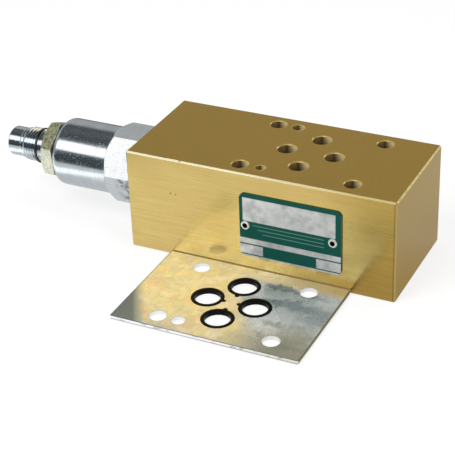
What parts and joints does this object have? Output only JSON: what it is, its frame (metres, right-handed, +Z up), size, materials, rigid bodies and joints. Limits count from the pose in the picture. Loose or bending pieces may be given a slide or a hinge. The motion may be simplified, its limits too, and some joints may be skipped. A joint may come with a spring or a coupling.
{
  "type": "hydraulic pressure relief valve module",
  "caption": "Sandwich-mounted hydraulic relief valve: a drilled gold block with a screw-in, screw-adjusted cartridge and a loose seal plate with port seals.",
  "frame": {"origin": "middle of the four mounting holes, on the block's bottom face", "axes": "+X along the block, away from the cartridge; +Y to the back, away from the nameplate; +Z up"},
  "size_m": [0.1612, 0.0894, 0.038],
  "materials": {
    "gold_anodised": "satin, brushed",
    "zinc_plate": "zinc plated, satin",
    "zinc_bright": "bright zinc plated",
    "yellow_zinc": "yellow passivated zinc",
    "rubber": "matte",
    "sign_green": "satin, printed aluminium",
    "rivet_aluminium": "bright",
    "dark_steel": "phosphated",
    "backup_plastic": "matte",
    "ground_steel": "hardened, ground"
  },
  "bodies": {
    "valve": {"valve_block": "gold_anodised", "gallery_plug_left": "dark_steel", "gallery_plug_back": "dark_steel", "nameplate": "sign_green", "nameplate_rivet_left": "rivet_aluminium", "nameplate_rivet_right": "rivet_aluminium", "seal_plate": "zinc_plate", "port_seal_p": "rubber", "port_seal_t": "rubber", "port_seal_a": "rubber", "port_seal_b": "rubber", "cartridge_body": "zinc_plate", "cartridge_face_seal": "rubber", "nose_seal": "rubber", "backup_ring_inner": "backup_plastic", "backup_ring_outer": "backup_plastic", "housing_seal": "rubber", "valve_seat": "ground_steel", "main_spring": "ground_steel", "spring_housing": "zinc_bright"},
    "cap": {"spring_cap": "ground_steel", "cap_seal": "rubber"},
    "screw": {"adjusting_screw": "zinc_bright", "retaining_ring": "dark_steel"},
    "washer": {"seal_washer": "rubber"},
    "nut": {"lock_nut": "yellow_zinc"},
    "poppet": {"poppet": "ground_steel", "spring_guide": "ground_steel"}
  },
  "joints": [
    {"name": "adjuster_travel", "type": "slide", "parent": "valve", "child": "cap", "axis": [1, 0, 0], "range_m": [-0.00254, 0.00254], "deforming": ["main_spring"]},
    {"name": "adjuster_turn", "type": "hinge", "parent": "cap", "child": "screw", "pos_m": [-0.0612, 0, 0.0205], "axis": [1, 0, 0], "range_deg": [-722, 722]},
    {"name": "lock_nut_travel", "type": "slide", "parent": "valve", "child": "washer", "axis": [1, 0, 0], "range_m": [-0.00095, 0]},
    {"name": "lock_nut_turn", "type": "hinge", "parent": "washer", "child": "nut", "pos_m": [-0.0612, 0, 0.0205], "axis": [1, 0, 0], "range_deg": [-270, 0]},
    {"name": "poppet_lift", "type": "slide", "parent": "valve", "child": "poppet", "axis": [-1, 0, 0], "range_m": [0, 0.0015], "stiffness_N_per_m": 1000, "springref_m": -0.001, "deforming": ["main_spring"]}
  ],
  "couplings": [
    {"joint": "adjuster_turn", "follows": "adjuster_travel", "rad_per_m": 4947.4},
    {"joint": "lock_nut_turn", "follows": "lock_nut_travel", "rad_per_m": 4947.4}
  ]
}
